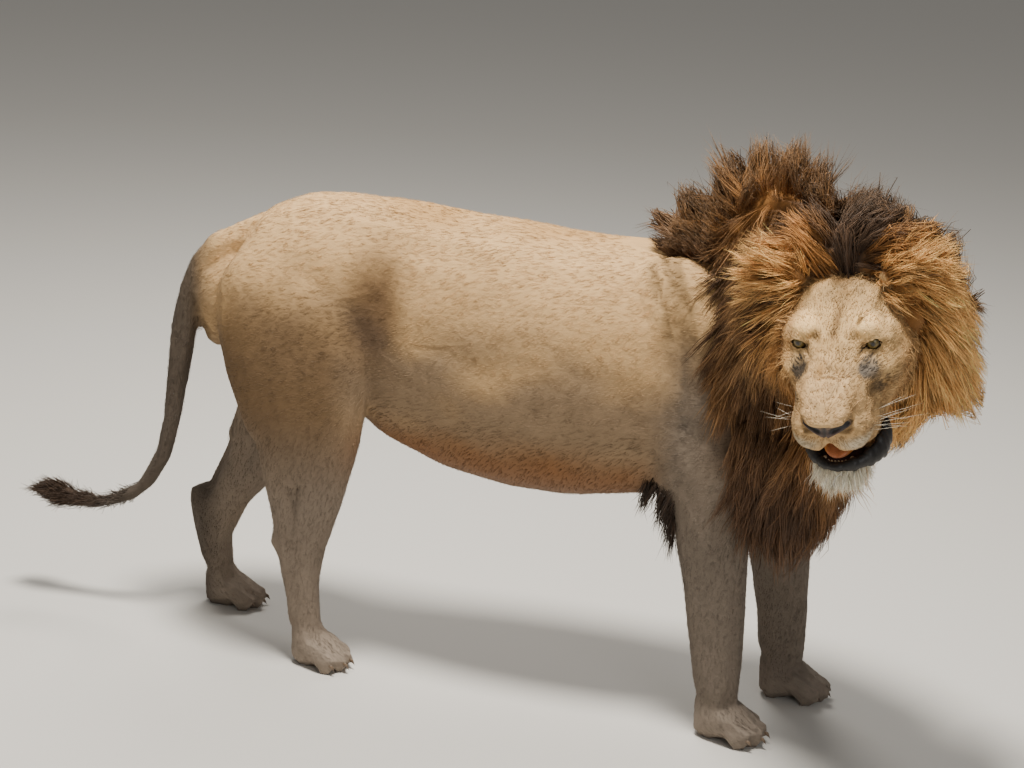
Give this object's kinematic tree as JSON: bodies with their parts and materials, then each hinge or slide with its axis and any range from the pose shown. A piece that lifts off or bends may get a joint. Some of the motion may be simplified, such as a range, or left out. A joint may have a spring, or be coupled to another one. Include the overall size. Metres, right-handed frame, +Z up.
{
  "type": "lion",
  "caption": "Life-size grown male lion standing, head turned to its right with the mouth a little open, full mane, tail hanging and curling back.",
  "frame": {"origin": "on the floor, under the middle of the lion's bounding box", "axes": "+X towards the chest, along the trunk; +Y to the lion's left; +Z up. The head is turned to the right, towards -Y."},
  "size_m": [2.2486, 0.7932, 1.3565],
  "materials": {
    "coat": "short tawny fur over skin",
    "mane": "long coarse hair, rufous to dark brown",
    "eye": "wet",
    "nose": "bare, finely grained",
    "tongue": "wet",
    "tooth": "smooth",
    "white_fur": "soft white hair",
    "dark_fur": "dark hair"
  },
  "bodies": {
    "root": {"beard": "white_fur", "ear_left": "coat", "ear_right": "coat", "elbow_tuft_left": "dark_fur", "elbow_tuft_right": "dark_fur", "eye_left": "eye", "eye_right": "eye", "foreleg_left": "coat", "foreleg_right": "coat", "forepaw_left": "coat", "forepaw_right": "coat", "head": "coat", "hind_foot_left": "coat", "hind_foot_right": "coat", "hind_leg_left": "coat", "hind_leg_right": "coat", "lower_jaw": "coat", "mane_breast": "mane", "mane_crest": "mane", "mane_face": "mane", "mane_neck": "mane", "neck": "coat", "nose": "nose", "tail_end": "coat", "tail_middle": "coat", "tail_root": "coat", "teeth": "tooth", "tongue": "tongue", "trunk": "coat"}
  },
  "joints": []
}
